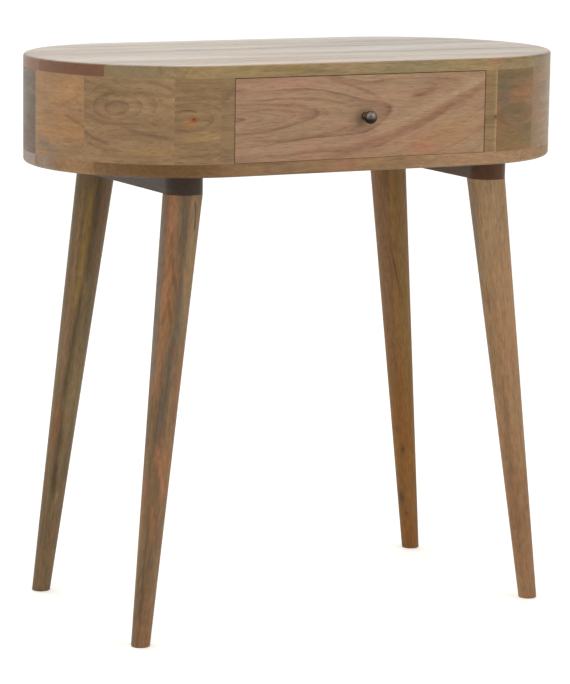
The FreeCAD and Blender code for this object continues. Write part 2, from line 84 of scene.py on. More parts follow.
# Wood colour: how strong each kind of variation is, and the values between which some of them set in
STREAK_GAIN = 2.6
BLUSH_SHARE = 0.6
BLUSH_RAMP = (0.42, 0.66)
FLECK_LEVEL = 1.05
FIBRE_GAIN = 0.75
MOTTLE_GAIN = 0.85
DASH_SHADE = 0.24
DASH_RAMP = (0.57, 0.7)
PORE_SHADE = 0.22
PORE_RAMP = (0.63, 0.7)
FACE_RAMP = (0.4, 0.9)
END_RAMP = (0.2, 0.9)
STROKE_FADE = 0.2

# Growth rings: fine lines to each dark one, where in its ring a line ends, how faint the faintest ring
# and the faintest stretch of a line are, and how far slow and quick wobbles push them
FINE_RINGS = 4.6
FINE_SHARPNESS = 2.5
RING_END = 0.93
RING_LEAST = 0.25
RING_NUMBER_SHIFT = 0.37
BREAK_LEAST = 0.35
BREAK_RAMP = (0.32, 0.6)
SLOW_WOBBLE_GAIN = 2.4
QUICK_WOBBLE_GAIN = 0.7

# Wood surface: height of each kind of variation in the bump, the bump's depth in metres, and the roughness
FIBRE_HEIGHT = 0.5
PORE_HEIGHT = 0.6
DASH_HEIGHT = 0.3
RING_HEIGHT = 0.4
WOOD_BUMP = 0.22
WOOD_BUMP_DEPTH = 0.0006
DRIFT_ROUGHNESS = 0.16
PORE_ROUGHNESS = 0.1
COAT_ROUGHNESS = 0.25

# Metal, and the upward-facing values over which the knob's painted underside shade fades out
CLOUD_RAMP = (0.3, 0.7)
CLOUD_ROUGHNESS = 0.2
PITS_TO_A_CLOUD = 8
PIT_BUMP = 0.2
PIT_BUMP_DEPTH = 0.0004
PAINTED_SHADE_RAMP = (-0.35, 0.4)

# Boards: step between the seeds of two boards and how it spreads over the three directions, and how near to a
# level a leg's corners count as being on it, in metres
SEED_STEP = 3.7
SEED_SPREAD = (1.0, 0.7, 1.3)
LEVEL_TOLERANCE = 0.0001

# Leg boards are turned so that their marked face looks to the front left
LEG_FACE = Vector((-0.475, -0.88, 0))

# Contrast of the streaks and mottle in the walls and in the straight front
WALL_CONTRAST = 0.7
FRONT_CONTRAST = 0.6


# Shader sums

class Socket:
    """One output of a material's nodes. Sums written with it add Math nodes."""

    def __init__(self, tree, output=None):
        self.tree = tree
        self.output = output

    def node(self, kind, settings=None, inputs=None, out=0):
        """Adds any node: its settings first, then the values or links of its sockets."""
        made = self.tree.nodes.new(kind)
        for name, value in (settings or {}).items():
            setattr(made, name, value)
        for key, value in (inputs or {}).items():
            if isinstance(value, Socket):
                self.tree.links.new(value.output, made.inputs[key])
            else:
                made.inputs[key].default_value = value
        return Socket(self.tree, made.outputs[out])

    def math(self, operation, *others):
        """Math on a value socket."""
        return self.node("ShaderNodeMath", {"operation": operation}, dict(enumerate((self, *others))))

    def vector(self, operation, *others, out=0):
        """Vector Math on a vector socket."""
        settings = {"operation": operation}
        return self.node("ShaderNodeVectorMath", settings, dict(enumerate((self, *others))), out)

    def mix(self, other, share, blend="MIX"):
        """This colour with a share of another one over it."""
        settings = {"data_type": "RGBA", "blend_type": blend}
        return self.node("ShaderNodeMix", settings, {0: share, 6: self, 7: other}, 2)

    def ramp(self, low, high):
        """Smooth step from 0 at one value to 1 at another."""
        settings = {"interpolation_type": "SMOOTHSTEP"}
        return self.node("ShaderNodeMapRange", settings, {0: self, 1: low, 2: high})

    def bell(self, width):
        """1 where the value is 0, falling to nearly nothing at twice the width."""
        scaled = self / width
        return (scaled * scaled * -1.0).math("EXPONENT")

    def __add__(self, other):
        return self.math("ADD", other)

    def __sub__(self, other):
        return self.math("SUBTRACT", other)

    def __rsub__(self, other):
        return self.node("ShaderNodeMath", {"operation": "SUBTRACT"}, {0: other, 1: self})

    def __mul__(self, other):
        return self.math("MULTIPLY", other)

    def __truediv__(self, other):
        return self.math("DIVIDE", other)

    __radd__ = __add__
    __rmul__ = __mul__


def tone(code):
    """Linear colour of a six-digit screen colour."""
    parts = [int(code[index:index + 2], 16) / 255 for index in (0, 2, 4)]
    linear = [part / 12.92 if part <= 0.04045 else ((part + 0.055) / 1.055) ** 2.4 for part in parts]
    return (*linear, 1.0)


def between(share, first, second):
    """Mix of two plain tones."""
    inputs = {0: share, 6: tone(first), 7: tone(second)}
    return share.node("ShaderNodeMix", {"data_type": "RGBA"}, inputs, 2)


def new_material(name):
    """Empty node material with its shader, and the socket that sums start from."""
    material = bpy.data.materials.new(name)
    material.use_nodes = True
    tree = material.node_tree
    shader = next(node for node in tree.nodes if node.type == "BSDF_PRINCIPLED")
    return material, shader, Socket(tree)


def feed(shader, **links):
    """Links sums to a shader's sockets, and sets plain numbers and colours on them."""
    for name, value in links.items():
        target = shader.inputs[name.replace("_", " ").title()]
        if isinstance(value, Socket):
            value.tree.links.new(value.output, target)
        else:
            target.default_value = value


def dress(node, material):
    """Puts a material on every slot of a CAD node."""
    for slot in nodes[node].material_slots:
        slot.material = material


# Boards and their frames

CASE_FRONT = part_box("top_plank_1")[0].y
CASE_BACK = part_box("top_plank_4")[1].y
CASE_MIDDLE_Y = (CASE_BACK + CASE_FRONT) / 2
END_RADIUS = (CASE_BACK - CASE_FRONT) / 2
END_MIDDLE_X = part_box("top_plank_3")[1].x - END_RADIUS


class Board:
    """A node and the frame of its wood."""

    def __init__(self, node, along, out, origin):
        self.node = node
        self.along = along.normalized()
        self.out = (out - self.along * out.dot(self.along)).normalized()
        self.across = self.out.cross(self.along)
        self.origin = origin
        self.seed = SEED_STEP * (sorted(nodes).index(node) + 1)

    def place(self, start):
        """Distances along, across and outwards on the board."""
        point = start.node("ShaderNodeTexCoord", out="Object")
        offset = point.vector("SUBTRACT", self.origin)
        axes = (self.along, self.across, self.out)
        return [offset.vector("DOT_PRODUCT", axis / MM, out="Value") for axis in axes]


def flat_board(node, along, out):
    """Board whose face is flat: its origin is in the middle of that face."""
    low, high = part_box(node)
    reach = abs((high - low).dot(out)) / 2
    return Board(node, along, out, (low + high) / 2 + out * reach)


def curved_board(node):
    """Board of a round end: its face is square to the line from the end's centre."""
    low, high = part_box(node)
    middle = (low + high) / 2
    end_x = math.copysign(END_MIDDLE_X, middle.x)
    centre = Vector((end_x, CASE_MIDDLE_Y, middle.z))
    out = Vector((middle.x - centre.x, middle.y - centre.y, 0)).normalized()
    return Board(node, UP.cross(out), out, centre + out * END_RADIUS)


def level_middle(node, level):
    """Middle of a node's outline at its top or its foot."""
    corners = [vertex.co for vertex in nodes[node].data.vertices]
    spots = [corner for corner in corners if abs(corner.z - level) < LEVEL_TOLERANCE]
    low = Vector([min(spot[axis] for spot in spots) for axis in range(3)])
    high = Vector([max(spot[axis] for spot in spots) for axis in range(3)])
    return (low + high) / 2


def leg_board(node):
    """Board of a leg: its grain runs from the middle of its top to the middle of its foot."""
    low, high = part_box(node)
    top = level_middle(node, high.z)
    foot = level_middle(node, low.z)
    return Board(node, foot - top, LEG_FACE, top)


# Grain, growth rings and marks

class Grain:
    """One kind of variation in wood or metal.

    size: how long its spots are along, across and into the board, in millimetres
    shift: keeps it apart from the other kinds on the same board
    """

    def __init__(self, size, shift=0, detail=3.0, roughness=0.55):
        self.size = size
        self.shift = shift
        self.detail = detail
        self.roughness = roughness

    def at(self, place, seed=0):
        """Noise of this kind, mostly between 0.2 and 0.8, at every place on a board."""
        scale = Vector([1 / length for length in self.size])
        start = Vector([(seed + self.shift) * spread for spread in SEED_SPREAD])
        spot = place.vector("MULTIPLY_ADD", scale, start)
        inputs = {"Vector": spot, "Scale": 1.0, "Detail": self.detail, "Roughness": self.roughness}
        return place.node("ShaderNodeTexNoise", {"noise_dimensions": "3D"}, inputs)


STREAKS = Grain((130, 10, 10), detail=4.0)
DRIFTS = Grain((110, 38, 38), shift=5, detail=2.0)
FIBRES = Grain((20, 1.1, 1.1), shift=7, detail=4.0, roughness=0.65)
PORES = Grain((7, 0.6, 0.6), shift=9, detail=1.0)
SLOW_WOBBLE = Grain((150, 45, 45), shift=11, detail=1.0)
DASHES = Grain((22, 1.5, 1.5), shift=13, detail=2.0)
MOTTLE = Grain((13, 3.4, 3.4), shift=17, detail=4.0)
QUICK_WOBBLE = Grain((38, 12, 12), shift=23, detail=2.0)
BREAKS = Grain((70, 15, 15), shift=31, detail=2.0)
SHEEN = Grain((600, 26, 26), shift=41, detail=2.0)


class Rings:
    """Growth rings of a board: a cone about a line in the board, cut by its face.

    centre: where the line meets the face, in millimetres along and across
    opening: how fast the rings open along the grain; 0 gives straight lines
    spacing, first: distance between dark lines, and of the first one from the middle
    depth: share of the way into the board that counts in the ring's radius
    height: how far the line lies off the face at its centre
    tilt: how far the line leans across the board for each millimetre along it
    bow_from, bow: place along the grain from which the line bends, and how much
    bends: places along the grain where the line is pushed aside, with how far each reaches and pushes
    wobble: how unsteady the rings are, in millimetres
    line, fine: strength of the dark lines and of the thinner ones between them
    sharp: how narrow the dark lines are
    fade: distance from the middle over which the dark lines die away, if they do
    """

    def __init__(self, centre, opening, spacing, first=0.0, depth=1.0, height=0.0, tilt=0.0,
                 bow_from=0.0, bow=0.0, bends=(), wobble=4.0, line=0.5, fine=0.18, sharp=5.0,
                 fade=0.0):
        self.centre = centre
        self.opening = opening
        self.spacing = spacing
        self.first = first
        self.depth = depth
        self.height = height
        self.tilt = tilt
        self.bow_from = bow_from
        self.bow = bow
        self.bends = bends
        self.wobble = wobble
        self.line = line
        self.fine = fine
        self.sharp = sharp
        self.fade = fade

    def radius(self, along, across, out, place, seed):
        """Distance from the middle of the rings at every place on a board."""
        slow = SLOW_WOBBLE.at(place, seed) - 0.5
        quick = QUICK_WOBBLE.at(place, seed) - 0.5
        side = across - self.centre[1] - along * self.tilt
        if self.bow:
            past = (along - self.bow_from).math("MAXIMUM", 0.0)
            side = side - past * past * self.bow
        for middle, reach, push in self.bends:
            side = side - (along - middle).bell(reach) * push
        side = side + slow * (SLOW_WOBBLE_GAIN * self.wobble) + quick * (QUICK_WOBBLE_GAIN * self.wobble)
        rise = (along - self.centre[0]) * self.opening + out * self.depth + self.height
        return (side * side + rise * rise).math("SQRT")

    def lines(self, radius, spacing, sharpness):
        """Dark line at the end of each ring, and a strength that differs from ring to ring."""
        phase = (radius - self.first) / spacing
        part = phase.math("FRACT")
        number = phase.math("FLOOR") + RING_NUMBER_SHIFT
        strength = number.node("ShaderNodeTexWhiteNoise", {"noise_dimensions": "1D"}, {"W": number})
        growth = part.math("POWER", sharpness)
        edge = 1.0 - part.ramp(RING_END, 1.0)
        return growth * edge, strength

    def shade(self, along, across, out, place, seed):
        """How dark the rings are at every place on a board: broken dark lines and fine ones between them."""
        radius = self.radius(along, across, out, place, seed)
        dark, strength = self.lines(radius, self.spacing, self.sharp)
        fine, fine_strength = self.lines(radius, self.spacing / FINE_RINGS, FINE_SHARPNESS)
        broken = BREAKS.at(place, seed).ramp(*BREAK_RAMP) * (1 - BREAK_LEAST) + BREAK_LEAST
        if self.fade:
            dark = dark * radius.bell(self.fade)
        dark = dark * (strength * (1 - RING_LEAST) + RING_LEAST) * broken * self.line
        return dark + fine * fine_strength * broken * self.fine


# Rings of wall boards, legs and bearers that have no figure of their own
PLAIN_RINGS = Rings((0, -140), 0.0, 16, tilt=0.05, depth=0.4, wobble=5, line=0.35)
STRAIGHT_RINGS = Rings((0, -34), 0.0, 9, height=-20, tilt=0.01, wobble=3, line=0.4)


class Mark:
    """A soft oval patch of another tone on a board's face, in millimetres and degrees."""

    def __init__(self, along, across, length, width, colour, strength, turn=0.0):
        self.along = along
        self.across = across
        self.length = length
        self.width = width
        self.colour = colour
        self.strength = strength
        self.turn = math.radians(turn)

    def share(self, along, across):
        """Share of the mark's tone at every place on the face."""
        right = along - self.along
        up = across - self.across
        lengthwise = (right * math.cos(self.turn) + up * math.sin(self.turn)) / self.length
        crosswise = (up * math.cos(self.turn) - right * math.sin(self.turn)) / self.width
        distance = lengthwise * lengthwise + crosswise * crosswise
        return (distance * -1.0).math("EXPONENT") * self.strength


class Stroke:
    """A soft line on a board's face through three places, in millimetres along and across."""

    def __init__(self, first, middle, last, width, colour, strength):
        self.places = (first, middle, last)
        self.width = width
        self.colour = colour
        self.strength = strength

    def share(self, along, across):
        """Share of the line's tone at every place: a parabola through its places, faded at both ends."""
        square = slope = start = 0.0
        for place, level in self.places:
            one, two = (other for other, _ in self.places if other != place)
            part = level / ((place - one) * (place - two))
            square += part
            slope -= part * (one + two)
            start += part * one * two
        begins = self.places[0][0]
        ends = self.places[2][0]
        fade = (ends - begins) * STROKE_FADE
        whole = along.ramp(begins, begins + fade) * (1.0 - along.ramp(ends - fade, ends))
        line = (along * square + slope) * along + start
        return (across - line).bell(self.width) * whole * self.strength


def chevron(along, across, reach, spread, width, colour, strength):
    """Two soft lines that part from a tip, as growth rings do on a round leg."""
    lines = []
    for side in (-1, 1):
        start = (along - reach / 5, across)
        middle = (along + reach / 2, across + side * spread / 2)
        end = (along + reach, across + side * spread)
        lines.append(Stroke(start, middle, end, width, colour, strength))
    return lines


# Wood

def wood(board, tones, rings, marks=(), end_grain=0.0, end_tone="6B4632", painted_face_light=None,
         contrast=1.0, shine=0.25, gloss=0.5, coat=0.1, stripes=0.2):
    """Puts wood on a board: streaks, a blush, growth rings, marks, fibres, mottle, dashes and pores.

    tones: pale and deep wood, the blush and the ring lines
    end_grain, end_tone: how much the ends take another tone, and which
    painted_face_light: painted light and shade on the face, how many times as light as its edges it looks, in
    red, green and blue
    contrast: strength of the streaks and the mottle
    shine, gloss: specular level and roughness
    coat, stripes: lacquer on the face, and how uneven it lies along the grain
    """
    pale, deep, blush, line = tones
    material, shader, start = new_material(board.node + "_wood")
    along, across, out = board.place(start)
    place = start.node("ShaderNodeCombineXYZ", inputs={0: along, 1: across, 2: out})
    streaks = STREAKS.at(place, board.seed) - 0.5
    drifts = DRIFTS.at(place, board.seed)
    mottle = MOTTLE.at(place, board.seed) - 0.5
    sheen = SHEEN.at(place, board.seed) - 0.5
    fibres = FIBRES.at(place, board.seed)
    dashes = DASHES.at(place, board.seed).ramp(*DASH_RAMP)
    pores = PORES.at(place, board.seed).ramp(*PORE_RAMP)

    colour = between(streaks * (STREAK_GAIN * contrast) + 0.5, pale, deep)
    colour = colour.mix(tone(blush), drifts.ramp(*BLUSH_RAMP) * BLUSH_SHARE)
    dark = rings.shade(along, across, out, place, board.seed)
    colour = colour.mix(tone(line), dark.math("MINIMUM", 1.0))
    for mark in marks:
        colour = colour.mix(tone(mark.colour), mark.share(along, across))

    fleck = (fibres - 0.5) * FIBRE_GAIN + mottle * (MOTTLE_GAIN * contrast) + FLECK_LEVEL
    fleck = fleck - dashes * DASH_SHADE - pores * PORE_SHADE
    fleck_tone = start.node("ShaderNodeCombineColor", inputs={0: fleck, 1: fleck, 2: fleck})
    colour = colour.mix(fleck_tone, 1.0, "MULTIPLY")

    facing = start.node("ShaderNodeTexCoord", out="Normal")
    face = facing.vector("DOT_PRODUCT", board.out, out="Value").ramp(*FACE_RAMP)
    # Painted light and shade: a gain above 1 lightens the face, one below 1 darkens it
    if painted_face_light:
        colour = colour.mix((*painted_face_light, 1.0), face, "MULTIPLY")
    if end_grain:
        ends = facing.vector("DOT_PRODUCT", board.along, out="Value").math("ABSOLUTE")
        colour = colour.mix(tone(end_tone), ends.ramp(*END_RAMP) * end_grain)

    height = fibres * FIBRE_HEIGHT - pores * PORE_HEIGHT - dashes * DASH_HEIGHT - dark * RING_HEIGHT
    bump_inputs = {"Strength": WOOD_BUMP, "Distance": WOOD_BUMP_DEPTH, "Height": height}
    feed(
        shader,
        base_color=colour,
        roughness=(drifts - 0.5) * DRIFT_ROUGHNESS + pores * PORE_ROUGHNESS + gloss,
        normal=start.node("ShaderNodeBump", inputs=bump_inputs),
        coat_weight=(sheen * stripes + coat) * face,
        coat_roughness=COAT_ROUGHNESS,
    )
    shader.inputs["Specular IOR Level"].default_value = shine
    dress(board.node, material)


# Drawer front

def dress_drawer_front():
    """Long loops about a heart at the left, a diagonal band, blots, and a painted shadow of the knob below
    and left of it.
    """
    board = flat_board("drawer_front", RIGHT, FRONT)
    rings = Rings((-192, 2), 0.16, 17.5, first=3.5, bow_from=-40, bow=0.00085,
                  bends=[(-80, 45, 5), (8, 24, -4)], wobble=2.0, line=0.85, fine=0.4)
    marks = [
        Mark(120, -32, 75, 20, "9C7048", 0.55, 16),
        Stroke((-80, -58), (74, -14), (228, 56), 6.4, "7E5038", 0.55),
        Stroke((-20, -30), (96, 2), (228, 62), 1.8, "7A4C34", 0.4),
        Stroke((0, -30), (90, 3), (228, 68), 7.0, "AC9070", 0.4),
        Stroke((-60, 52), (-20, 42), (30, 22), 2.4, "80523C", 0.6),
        Stroke((-170, -50), (-60, -54), (60, -42), 4.0, "94664A", 0.4),
        Stroke((-186, 19), (-96, 27), (2, 10), 1.8, "7A5038", 0.5),
        Stroke((-186, -22), (-100, -27), (-8, -9), 1.8, "7A5038", 0.5),
        Stroke((-186, 9), (-130, 13), (-84, 6), 1.6, "7E543C", 0.45),
        Stroke((-186, -10), (-134, -12), (-86, -3), 1.6, "7E543C", 0.45),
        Mark(86, 26, 14, 5.0, "7A4834", 0.75, 10),
        Mark(105, 33, 10, 4.6, "764632", 0.7, 24),
        Mark(126, 40, 26, 5.0, "9A6650", 0.4, 20),
        Mark(96, -44, 22, 5, "985A44", 0.45, 4),
        Mark(-140, 44, 60, 9, "A07260", 0.5, 0),
        # Painted shadow of the knob: a dark patch just below and left of it
        Mark(-1, -7, 10, 8, "4E3424", 0.65),
    ]
    wood(board, ("A18466", "876850", "9E765E", "68422C"), rings, marks, contrast=FRONT_CONTRAST)


# Wall boards

def dress_left_staves():
    """From the left edge to the drawer: a dark board, a plain one, a bullseye and a red knot."""
    side_grain = Rings((0, -70), 0.0, 15, depth=0.5, line=0.3)
    shades = [
        Mark(0, 26, 400, 24, "6A5444", 0.5),
        Mark(0, -36, 400, 11, "664E3E", 0.5),
    ]
    wood(curved_board("left_stave_4"), ("6E5E4E", "4C3E34", "645042", "32281F"), side_grain, shades)

    figure = [
        Mark(28, 36, 26, 18, "AC8056", 0.5),
        Stroke((-36, -2), (-4, 10), (44, 30), 4.0, "7E5E40", 0.45),
        Stroke((12, 3), (30, -3), (60, -18), 2.4, "6A4A30", 0.5),
        Stroke((-50, -30), (-24, -40), (10, -54), 7.0, "6E6056", 0.5),
    ]
    wood(curved_board("left_stave_3"), ("9F7E5A", "7C5E3F", "A0744B", "5C4230"), PLAIN_RINGS, figure,
         contrast=WALL_CONTRAST)

    bullseye = Rings((-14, 17), 0.47, 8, first=0.5, depth=0.15, wobble=10, line=0.6, sharp=2.4,
                     fade=26)
    stains = [
        Mark(-14, 17, 14, 7, "80604A", 0.3),
        Mark(6, -18, 60, 6.0, "7A5E44", 0.4, -3),
        Stroke((-6, -9), (24, -16), (60, -22), 3.0, "5E462E", 0.5),
        Stroke((-66, -12), (-50, -22), (-20, -31), 2.2, "5A3E2A", 0.5),
        Stroke((-60, -28), (-46, -34), (-10, -38), 2.4, "5E442E", 0.35),
        Stroke((22, 52), (42, 47), (64, 38), 2.6, "6A5038", 0.5),
        Stroke((-56, 34), (-20, 47), (20, 44), 2.6, "6A5038", 0.4),
        Mark(36, -40, 40, 5.0, "94783E", 0.4, 0),
    ]
    wood(curved_board("left_stave_2"), ("A1825D", "73593B", "8C6A4E", "371A0B"), bullseye, stains,
         contrast=WALL_CONTRAST)

    eye = Rings((-3, 2.7), 0.5, 9, first=4, depth=0.15, wobble=4, line=0.5)
    red_knot = [
        Stroke((-32, 10), (-18, 14), (4, 12), 1.8, "5A4028", 0.6),
        Stroke((-30, -8), (-12, -12), (16, -8), 1.8, "5A4028", 0.5),
        Mark(10, -20, 20, 10, "9A7C4C", 0.4),
        Mark(-7, -1.5, 8, 5.5, "A0643A", 0.65, 30),
        Mark(-3.0, 3.0, 3.6, 2.7, "842E16", 0.95),
        Mark(-2.4, 3.2, 1.7, 1.3, "4A1810", 0.9),
    ]
    wood(curved_board("left_stave_1"), ("977956", "6E5538", "886A47", "472C18"), eye, red_knot,
         contrast=WALL_CONTRAST)


def dress_right_staves():
    """A dark swirled board beside the stile, and a paler one round the end."""
    swirl = Rings((-4, -6), 0.35, 11, first=3, depth=0.15, wobble=9, line=0.35, sharp=2.0, fade=40)
    near = [
        Mark(-26, 22, 16, 26, "5C5242", 0.6),
        Mark(14, 20, 22, 18, "8A6246", 0.45),
        Mark(32, 10, 16, 16, "8E684A", 0.5),
        Mark(0, -42, 40, 12, "7C6238", 0.55),
        Stroke((-30, -8), (-14, -16), (14, -22), 3.0, "8A5E4A", 0.5),
        Stroke((-2, 26), (6, 28), (16, 26), 2.0, "86503A", 0.4),
    ]
    wood(curved_board("right_stave_1"), ("806340", "5D4C28", "92623C", "352614"), swirl, near,
         contrast=WALL_CONTRAST)

    far = [
        Mark(-54, 0, 12, 300, "7C6242", 0.6),
        Mark(-46, 18, 20, 18, "8A6246", 0.5),
        Stroke((-60, 20), (-50, 23), (-40, 22), 2.0, "86503A", 0.4),
        Mark(-46, -40, 30, 14, "7E6640", 0.5),
    ]
    wood(curved_board("right_stave_2"), ("90704E", "665238", "9A6E4E", "3C2A14"), PLAIN_RINGS, far,
         contrast=WALL_CONTRAST, shine=0.3, gloss=0.45, coat=0.15)


def dress_stiles():
    """Narrow boards beside the drawer; the right one has a pale edge and a pin knot."""
    upright = Rings((0, -90), 0.0, 14, depth=0.4, line=0.35)
    swirl = [
        Mark(2, 36, 12, 4, "5E4630", 0.45, 40),
        Stroke((-14, 22), (0, 30), (14, 46), 1.8, "6A4A32", 0.45),
    ]
    wood(curved_board("front_stile_left"), ("8F7351", "685338", "876A49", "371F0F"), upright, swirl,
         contrast=FRONT_CONTRAST)

    pin_knot = [
        Mark(8.6, 0, 2.6, 400, "A88E68", 0.5),
        Mark(7.0, -8, 3.0, 2.6, "5A2214", 0.95),
    ]
    wood(curved_board("front_stile_right"), ("90734D", "705737", "856847", "47331F"), upright, pin_knot,
         contrast=FRONT_CONTRAST)


def dress_unseen_walls():
    """Staves round the back of both ends."""
    bullseye = Rings((10, -8), 0.4, 9, first=3, depth=0.15, wobble=9, line=0.5, sharp=2.0, fade=34)
    flame = Rings((-60, 12), 0.2, 12, first=4, depth=0.3, wobble=6, line=0.5, sharp=3.0)
    brown = ("8E7054", "70563E", "8A6449", "50392A")
    tan = ("9C7D5A", "785E41", "946C4C", "503826")
    olive = ("937650", "70583A", "8C6A48", "46321E")
    rose = ("9A7A5C", "7C6048", "9A6C50", "5A402E")
    looks = {
        "left_stave_5": (brown, PLAIN_RINGS),
        "left_stave_6": (tan, bullseye),
        "right_stave_3": (rose, flame),
        "right_stave_4": (tan, PLAIN_RINGS),
        "right_stave_5": (olive, bullseye),
        "right_stave_6": (rose, PLAIN_RINGS),
    }
    for node, (tones, rings) in looks.items():
        wood(curved_board(node), tones, rings, contrast=WALL_CONTRAST)


def dress_back_board():
    """Long loops, as on the drawer front."""
    long_grain = Rings((-210, -4), 0.15, 18, first=4, bow_from=20, bow=0.0006, bends=[(-40, 50, 6)],
                       wobble=3, line=0.8, fine=0.35)
    sweeps = [
        Stroke((-120, -50), (20, -22), (190, 48), 5.0, "7E5238", 0.5),
        Stroke((-190, 46), (-60, 40), (40, 52), 4.0, "8A6248", 0.4),
        Mark(150, -30, 60, 16, "94704C", 0.4, 10),
    ]
    wood(flat_board("back_board", LEFT, BACK), ("A08364", "84694E", "9C765A", "664530"), long_grain, sweeps,
         contrast=WALL_CONTRAST)


# Top and bottom boards

def dress_top():
    """Lacquered planks with a flame each, their faces made pale by painted light; the front one has marks
    along its rim.
    """
    # For each plank its tones, its end tone, the painted light that makes its face paler than its edges, and
    # where its rings start
    looks = [
        (("9A825C", "74623E", "92784A", "4A3C20"), "7E6644", (1.55, 1.45, 1.75), -300),
        (("8C785C", "6C5A44", "8A7058", "4A3C2A"), "6A3C22", (1.75, 1.6, 1.5), -80),
        (("90785E", "705E4A", "8E705A", "4E3E32"), "7A4A34", (1.6, 1.58, 1.55), 220),
        (("8E7860", "6C5C44", "8A7058", "4E3E2E"), "80624C", (1.66, 1.66, 1.6), -200),
    ]
    rim_marks = [
        Mark(-150, -37, 30, 14, "8C7440", 0.4),
        Mark(-96, -37, 14, 14, "8A7238", 0.45),
        Mark(-30, -37, 24, 14, "8C6E4C", 0.5),
        Mark(60, -37, 26, 14, "6A5636", 0.25),
        Mark(128, -37, 22, 14, "8E764A", 0.4),
        Mark(205, -37, 14, 24, "9C6E48", 0.5),
    ]
    for number, (tones, end_tone, plank_painted_light, heart) in enumerate(looks, 1):
        board = flat_board(f"top_plank_{number}", RIGHT, UP)
        flame = Rings((heart, 6), 0.13, 15, first=4, wobble=5, line=0.6, fine=0.3, sharp=3.0)
        shift = heart / 5
        # Soft patches: the pink and olive ones are the wood's tone, the grey one at the left end is painted
        # reflection and the dark one over the right half is painted shade
        patches_and_painted_light = [
            Mark(shift - 245, 24, 130, 28, "8A8A80", 0.28),
            Mark(-2 * shift - 215, 14, 60, 30, "8E7462", 0.25),
            Mark(2 * shift + 130, 12, 130, 32, "74644E", 0.25),
            Mark(240 - shift, 24, 190, 36, "4A4036", 0.6),
        ]
        if number == 1:
            patches_and_painted_light += rim_marks
        wood(board, tones, flame, patches_and_painted_light, end_grain=0.85, end_tone=end_tone,
             painted_face_light=plank_painted_light, contrast=0.8, shine=0.4, gloss=0.4, coat=0.3, stripes=1.8)


def dress_bottom():
    """Straight-grained planks, with painted shade making their underside darker."""
    straight = Rings((-300, 0), 0.06, 16, height=-30, wobble=4, line=0.35)
    front_rim = [
        Mark(-270, 0, 100, 300, "60411F", 0.9),
        Mark(-120, 0, 30, 300, "6E5440", 0.5),
        Mark(-20, 0, 22, 300, "8C6048", 0.5),
        Mark(60, 0, 24, 300, "7C5C3E", 0.5),
        Mark(170, 0, 110, 300, "B08A68", 0.45),
    ]
    left_end = [
        Mark(-376, -30, 14, 22, "8A8078", 0.5),
        Mark(-355, 25, 20, 25, "A27A52", 0.5),
    ]
    far_left_end = [Mark(-380, 40, 20, 60, "948C88", 0.6)]
    back_tones = ("90704F", "785A40", "926A50", "56402A")
    looks = [
        (("90714D", "6C5338", "906C4B", "4C3624"), front_rim),
        (("8C6E4C", "74593C", "926A48", "563E28"), left_end),
        (back_tones, far_left_end),
        (back_tones, []),
    ]
    for number, (tones, marks) in enumerate(looks, 1):
        # Painted shade: the underside faces are darkened
        wood(flat_board(f"bottom_plank_{number}", RIGHT, DOWN), tones, straight, marks,
             painted_face_light=(0.62, 0.6, 0.58))


# Legs and bearers

def dress_leg_front_left():
    """Orange and grey streaks with small chevrons, red streaks below them, and a grey painted shade down the
    left edge.
    """
    wood(leg_board("leg_front_left"), ("816444", "644B31", "8F6240", "3E2C1A"), STRAIGHT_RINGS, [
        Stroke((-30, -12), (70, -10), (170, -7), 6.0, "A06C4A", 0.6),
        Stroke((110, -6), (190, -9), (280, -14), 6.5, "A06C46", 0.5),
        Stroke((-30, 4), (80, 7), (200, 11), 4.5, "52483A", 0.65),
        Stroke((150, 13), (240, 3), (350, -1), 6.0, "564C40", 0.65),
        Stroke((-20, 18), (80, 18), (200, 17), 4.0, "907450", 0.55),
        # Painted shade and reflection: a grey line down the left edge
        Stroke((-20, -24), (120, -20), (280, -17), 4.0, "6A625A", 0.6),
        *chevron(56, -9, 30, 3, 1.8, "6A4A2E", 0.4),
        *chevron(82, -6, 36, 8, 2.6, "62421F", 0.4),
        Mark(62, -6, 10, 2.4, "5C3C22", 0.5, 8),
        Mark(88, -2, 12, 2.0, "5A3A20", 0.45, -6),
        Mark(112, -1, 9, 3.0, "563A1E", 0.55, 20),
        Mark(126, -5, 12, 2.6, "5E3E20", 0.5, -8),
        *chevron(140, -4, 34, 6, 2.4, "6A441E", 0.45),
        Mark(152, -3, 14, 1.8, "64401C", 0.45, 6),
        Stroke((4, 17), (25, 19), (50, 20), 1.1, "3E2A18", 0.8),
        Mark(204, 8, 5, 1.8, "84341E", 0.5),
        Stroke((322, -5), (358, 4), (402, 14), 2.9, "A66A4C", 0.6),
        Stroke((398, -4), (428, 1), (462, 6), 2.6, "98603C", 0.45),
        Mark(543, -4, 22, 4, "503C2A", 0.5),
    ])


def dress_leg_back_left():
    """An olive streak between tan and dark ones, dark flecks below, painted shadow of the case at the top,
    painted light down the left edge and painted shade down the right.
    """
    wood(leg_board("leg_back_left"), ("765F40", "58462A", "705538", "342716"), STRAIGHT_RINGS, [
        # Painted shadow of the case over the top of the leg
        Mark(24, 0, 60, 40, "54421E", 0.5),
        Mark(290, 0, 110, 40, "8A7450", 0.3),
        Stroke((10, -1), (110, -2), (215, -3), 5.0, "80652A", 0.7),
        Stroke((-30, 8), (60, 9), (170, 6), 4.6, "3C2C1A", 0.6),
        Stroke((140, 4), (235, 0), (340, -4), 3.6, "3C2E1C", 0.6),
        # Painted light: a tan line down the left edge
        Stroke((0, -14), (150, -12), (320, -9), 4.0, "8A6648", 0.45),
        # Painted shade: a dark band along the right edge
        Mark(60, 19, 70, 5, "6E4A32", 0.5),
        Mark(357, -8, 30, 4, "824C2A", 0.7),
        Stroke((325, -2), (390, -2), (470, 0), 3.0, "3A2A1A", 0.5),
        Mark(375, 0, 12, 3, "362618", 0.4),
        Mark(430, -1, 18, 3, "362618", 0.5),
        Mark(458, 5, 14, 1.8, "8A7050", 0.5),
    ])


